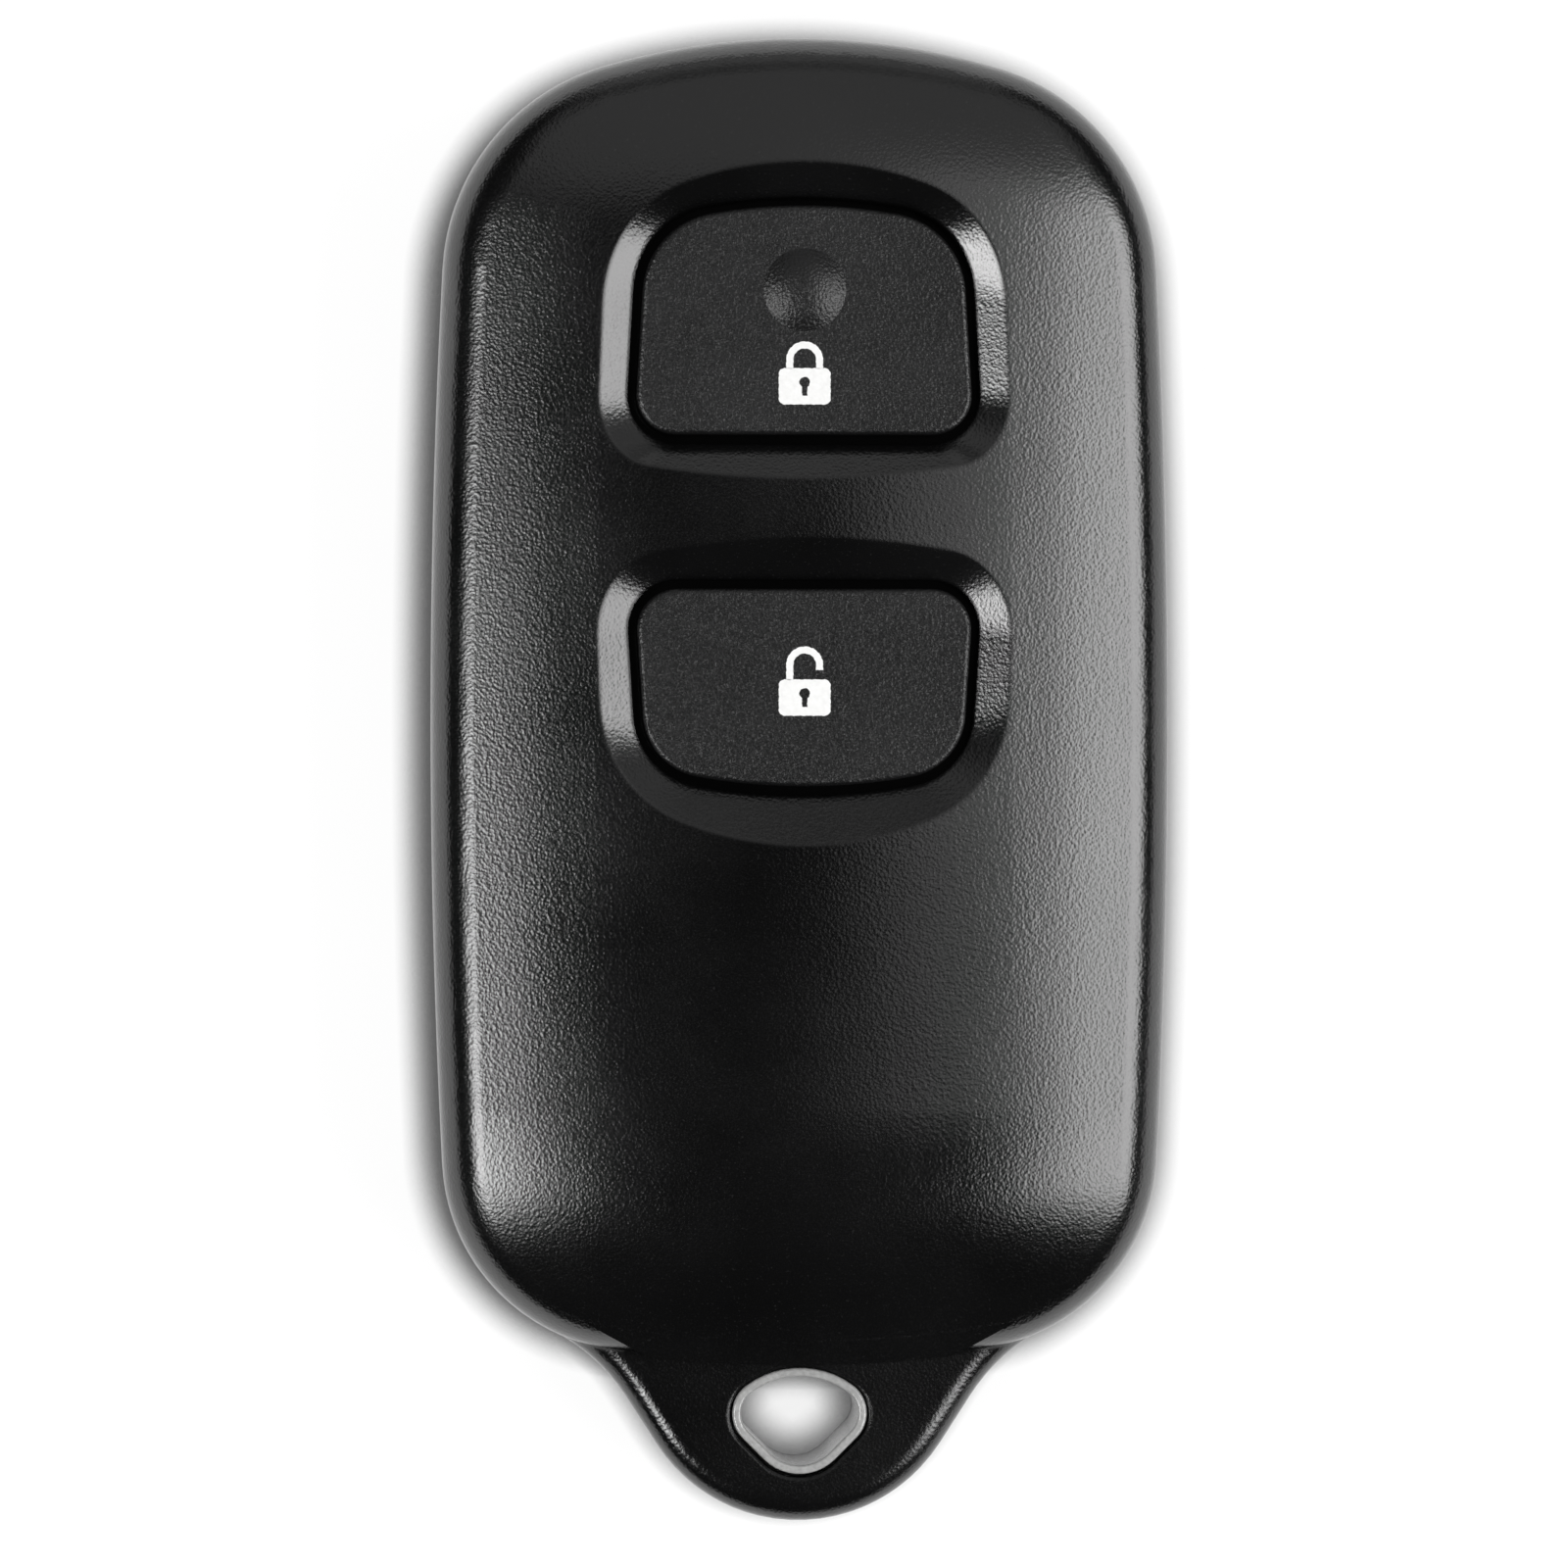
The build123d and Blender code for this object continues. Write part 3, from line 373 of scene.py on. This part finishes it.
def printed(name, outlines, body):
    """A flat sign of ink, its holes cut by the outlines inside it."""
    curve = bpy.data.curves.new(name + "_curve", "CURVE")
    curve.dimensions = "2D"
    curve.fill_mode = "BOTH"
    curve.extrude = PRINT / 2
    for outline in outlines:
        points = rough_edge(outline)
        spline = curve.splines.new("POLY")
        spline.points.add(len(points) - 1)
        for point, (x, y) in zip(spline.points, points):
            point.co = (x * MM, y * MM, 0.0, 1.0)
        spline.use_cyclic_u = True
    holder = bpy.data.objects.new(name + "_holder", curve)
    bpy.context.scene.collection.objects.link(holder)
    bpy.context.view_layer.update()
    filled = holder.evaluated_get(bpy.context.evaluated_depsgraph_get())
    mesh = bpy.data.meshes.new_from_object(filled)
    bpy.data.objects.remove(holder)
    for vertex in mesh.vertices:
        vertex.co.z += KEY_TOP + PRINT / 2
    mesh.materials.clear()
    mesh.materials.append(white_ink.material)
    piece = bpy.data.objects.new(name, mesh)
    bpy.context.scene.collection.objects.link(piece)
    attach(piece, body)


def padlock(name, cx, cy, body, open_side):
    """A padlock, closed or open, with a keyhole."""
    box_w, box_h, corner = 2.5, 1.75, 0.28
    box_y = cy - 0.62
    hole_r, slot_half, slot_depth = 0.26, 0.13, 0.45
    keyhole = arc(cx, box_y + 0.2, hole_r, -60, 240, 14)
    keyhole += [(cx - slot_half, box_y - slot_depth), (cx + slot_half, box_y - slot_depth)]
    printed(name + "_body", [rounded_box(cx, box_y, box_w, box_h, corner), keyhole], body)
    foot = box_y + box_h / 2 - 0.02
    straight = 0.42 + (0.3 if open_side else 0.0)
    bow_r, bar = 0.72, 0.34
    printed(name + "_shackle", [shackle(cx, foot, straight, bow_r, bar, open_side)], body)


LOCK_SIGN_Y = 19.7
UNLOCK_SIGN_Y = 4.7
padlock("lock_sign", 0.0, LOCK_SIGN_Y, "lock_key", False)
padlock("unlock_sign", 0.0, UNLOCK_SIGN_Y, "unlock_key", True)


# ------------------------------------------------ lower edge of the front cover

# In mm. The body's lower end, its radius, the tab's top and the depth of the rounding
# there are those of the front cover. The heel's depth fades out toward its two ends.
BODY_END = -28.37
LOWER_END_RADIUS = 64.0
TAB_TOP = 7.4
ROUND_START = 1.25
HEEL_HALF = 10.4
HEEL_FADE = 3.0
HEEL_LEAST = 0.02
HEEL_SINK = 0.3
HEEL_STEPS = 52
PROBE_X = 9.0
PROBE_STEP = 0.5
ABOVE_ALL = 0.1


def front_height(x, y):
    """Height of the front cover over a point, in millimetres."""
    above = Vector((x * MM, y * MM, ABOVE_ALL))
    _, place, _, _ = nodes["front_cover"].ray_cast(above, Vector((0, 0, -1)))
    return place.z / MM


def round_start(x):
    """Where the rounding of the lower edge begins, above its outline."""
    end = BODY_END + LOWER_END_RADIUS - math.sqrt(LOWER_END_RADIUS ** 2 - x * x)
    return end + ROUND_START


def crown_at(x):
    """Height of the crown at that line, and its fall for each millimetre."""
    high = front_height(x, round_start(x))
    return high, (front_height(x, round_start(x) + PROBE_STEP) - high) / PROBE_STEP


def make_heel():
    """Carries the crown on to a crisp edge where the body steps down onto the tab.

    Height and fall are parabolas across the width, through the middle and one probe.
    """
    (high_mid, fall_mid), (high_side, fall_side) = crown_at(0.0), crown_at(PROBE_X)
    stations = [HEEL_HALF * (2 * i / HEEL_STEPS - 1) for i in range(HEEL_STEPS + 1)]
    low = TAB_TOP - HEEL_SINK
    vertices, faces = [], []
    for x in stations:
        share = min(1.0, (HEEL_HALF - abs(x)) / HEEL_FADE + HEEL_LEAST)
        side = (x / PROBE_X) ** 2
        high = high_mid + (high_side - high_mid) * side
        fall = fall_mid + (fall_side - fall_mid) * side
        start = round_start(x)
        end = start - ROUND_START * share
        edge = high - fall * (start - end)
        profile = [(start, high), (end, edge), (end, low), (start, low)]
        vertices += [(x * MM, y * MM, z * MM) for y, z in profile]
    count = len(profile)
    for i in range(HEEL_STEPS):
        for j in range(count):
            a, b = i * count + j, i * count + (j + 1) % count
            faces.append((a, a + count, b + count, b))
    faces.append(tuple(range(count)))
    faces.append(tuple(HEEL_STEPS * count + j for j in reversed(range(count))))
    mesh = bpy.data.meshes.new("front_heel")
    mesh.from_pydata(vertices, [], faces)
    mesh.materials.append(heel_plastic.material)
    for face in mesh.polygons:
        face.use_smooth = face.normal.z > 0.5
    piece = bpy.data.objects.new("front_heel", mesh)
    bpy.context.scene.collection.objects.link(piece)
    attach(piece, "case")


make_heel()


# --------------------------------------------------------- floor and lights


FLOOR_HALF = 2.5
FLOOR_DROP = 0.02 * MM
SHADE_REACH = 2.3 * MM
SHADE_DARKEST = 0.16
SHADE_FROM, SHADE_TO = 0.62, 0.97
SHADE_POWER = 1.2
FLOOR_GLOW = 0.87
FLOOR_COLOUR = (0.2, 0.2, 0.2)


def make_floor():
    """White floor. The camera and mirrors see it glow; close under the fob its glow and colour
    are darkened by ambient occlusion, a painted contact shadow.
    """
    mesh = bpy.data.meshes.new("floor")
    r, z = FLOOR_HALF, -FLOOR_DROP
    mesh.from_pydata([(-r, -r, z), (r, -r, z), (r, r, z), (-r, r, z)], [], [(0, 1, 2, 3)])
    floor = bpy.data.objects.new("floor", mesh)
    bpy.context.scene.collection.objects.link(floor)
    s = Shader("white_floor")
    s.tree.nodes.remove(s.bsdf)
    # Painted contact shadow: occlusion darkens the floor's glow and colour near the fob.
    near = s.tree.nodes.new("ShaderNodeAmbientOcclusion")
    near.samples = 12
    near.inputs["Distance"].default_value = SHADE_REACH
    open_sky = s.spread(near.outputs["AO"], SHADE_DARKEST, 1.0, SHADE_FROM, SHADE_TO)
    painted_shadow = s.math("POWER", open_sky, SHADE_POWER)
    path = s.tree.nodes.new("ShaderNodeLightPath")
    seen = s.math("MAXIMUM", path.outputs["Is Camera Ray"], path.outputs["Is Glossy Ray"])
    seen = s.math("MAXIMUM", seen, path.outputs["Is Transmission Ray"])
    glow = s.tree.nodes.new("ShaderNodeEmission")
    glow.inputs["Color"].default_value = (1.0, 1.0, 1.0, 1.0)
    shaded = s.math("MULTIPLY", seen, painted_shadow)
    s.link(s.math("MULTIPLY", shaded, FLOOR_GLOW), glow.inputs["Strength"])
    diffuse = s.tree.nodes.new("ShaderNodeBsdfDiffuse")
    s.link(s.blend(painted_shadow, (0.0, 0.0, 0.0), FLOOR_COLOUR), diffuse.inputs["Color"])
    both = s.tree.nodes.new("ShaderNodeAddShader")
    s.link(diffuse.outputs[0], both.inputs[0])
    s.link(glow.outputs[0], both.inputs[1])
    s.link(both.outputs[0], s.out.inputs["Surface"])
    mesh.materials.append(s.material)


def fade_edges(light, soft):
    """Lets a lamp fade toward its edges, over a share of its half width and half length."""
    light.use_nodes = True
    tree = light.node_tree
    glow = next(n for n in tree.nodes if n.type == "EMISSION")
    place = tree.nodes.new("ShaderNodeNewGeometry").outputs["Parametric"]
    split = tree.nodes.new("ShaderNodeSeparateXYZ")
    tree.links.new(place, split.inputs["Vector"])
    both = tree.nodes.new("ShaderNodeMath")
    both.operation = "MULTIPLY"
    for socket, axis, share in zip(both.inputs, "XY", soft):
        nearest = tree.nodes.new("ShaderNodeMath")
        nearest.operation = "PINGPONG"
        nearest.inputs[1].default_value = 0.5
        tree.links.new(split.outputs[axis], nearest.inputs[0])
        ramp = tree.nodes.new("ShaderNodeMapRange")
        ramp.interpolation_type = "SMOOTHSTEP"
        ramp.inputs["From Max"].default_value = share / 2
        tree.links.new(nearest.outputs[0], ramp.inputs["Value"])
        tree.links.new(ramp.outputs["Result"], socket)
    tree.links.new(both.outputs[0], glow.inputs["Strength"])


LAMP_DISTANCE = 0.7


def softbox(name, x_angle, y_angle, x_half, y_half, radiance, soft):
    """An area light facing the fob, placed and sized by angles in degrees."""
    light = bpy.data.lights.new(name, "AREA")
    light.shape = "RECTANGLE"
    light.size = 2 * LAMP_DISTANCE * math.tan(math.radians(x_half))
    light.size_y = 2 * LAMP_DISTANCE * math.tan(math.radians(y_half))
    light.energy = radiance * math.pi * light.size * light.size_y
    fade_edges(light, soft)
    obj = bpy.data.objects.new(name, light)
    bpy.context.scene.collection.objects.link(obj)
    ax, ay = math.radians(x_angle), math.radians(y_angle)
    out = Vector((math.sin(ax) * math.cos(ay), math.sin(ay), math.cos(ax) * math.cos(ay)))
    along = (Vector((0, 1, 0)) - out * out.y).normalized()
    across = along.cross(out)
    obj.location = out * LAMP_DISTANCE
    obj.rotation_euler = Matrix((across, along, out)).transposed().to_euler()


make_floor()
softbox("left_softbox", -40.5, -14.5, 9.7, 19.0, 10.8, (0.1, 0.3))
softbox("right_softbox", 47.0, -8.0, 17.5, 25.5, 6.0, (0.2, 0.3))
softbox("right_sheen", 20.5, 7.5, 11.5, 16.7, 0.8, (0.4, 0.5))
softbox("top_sheen", 7.0, 37.0, 42.0, 27.0, 0.38, (0.35, 0.3))
softbox("far_sheen", 0.0, 76.0, 30.0, 12.0, 0.45, (0.4, 0.4))

world = bpy.data.worlds.new("studio")
world.use_nodes = True
background = world.node_tree.nodes["Background"]
background.inputs["Color"].default_value = (0.025, 0.025, 0.025, 1.0)
bpy.context.scene.world = world


# -------------------------------------------------------------------- camera

PARTING = 5.0 * MM
AIM = (-0.64 * MM, -0.084 * MM, PARTING)
CAMERA_PLACE = (-19.0 * MM, -0.1 * MM, 375.0 * MM)
FIELD = 77.05 * MM
SENSOR = 36.0

camera_data = bpy.data.cameras.new("camera")
camera = bpy.data.objects.new("camera", camera_data)
bpy.context.scene.collection.objects.link(camera)
target = Vector(AIM)
camera.location = Vector(CAMERA_PLACE)
reach = (camera.location - target).length
camera_data.sensor_fit = "HORIZONTAL"
camera_data.sensor_width = SENSOR
camera_data.lens = SENSOR * reach / FIELD
camera_data.clip_start = 0.01
camera_data.clip_end = 20.0
way = (target - camera.location).normalized()
side = Vector((0, 1, 0)).cross(-way).normalized()
up = (-way).cross(side)
camera.rotation_euler = Matrix((side, up, -way)).transposed().to_euler()
bpy.context.scene.camera = camera
bpy.context.scene.view_settings.view_transform = "Standard"
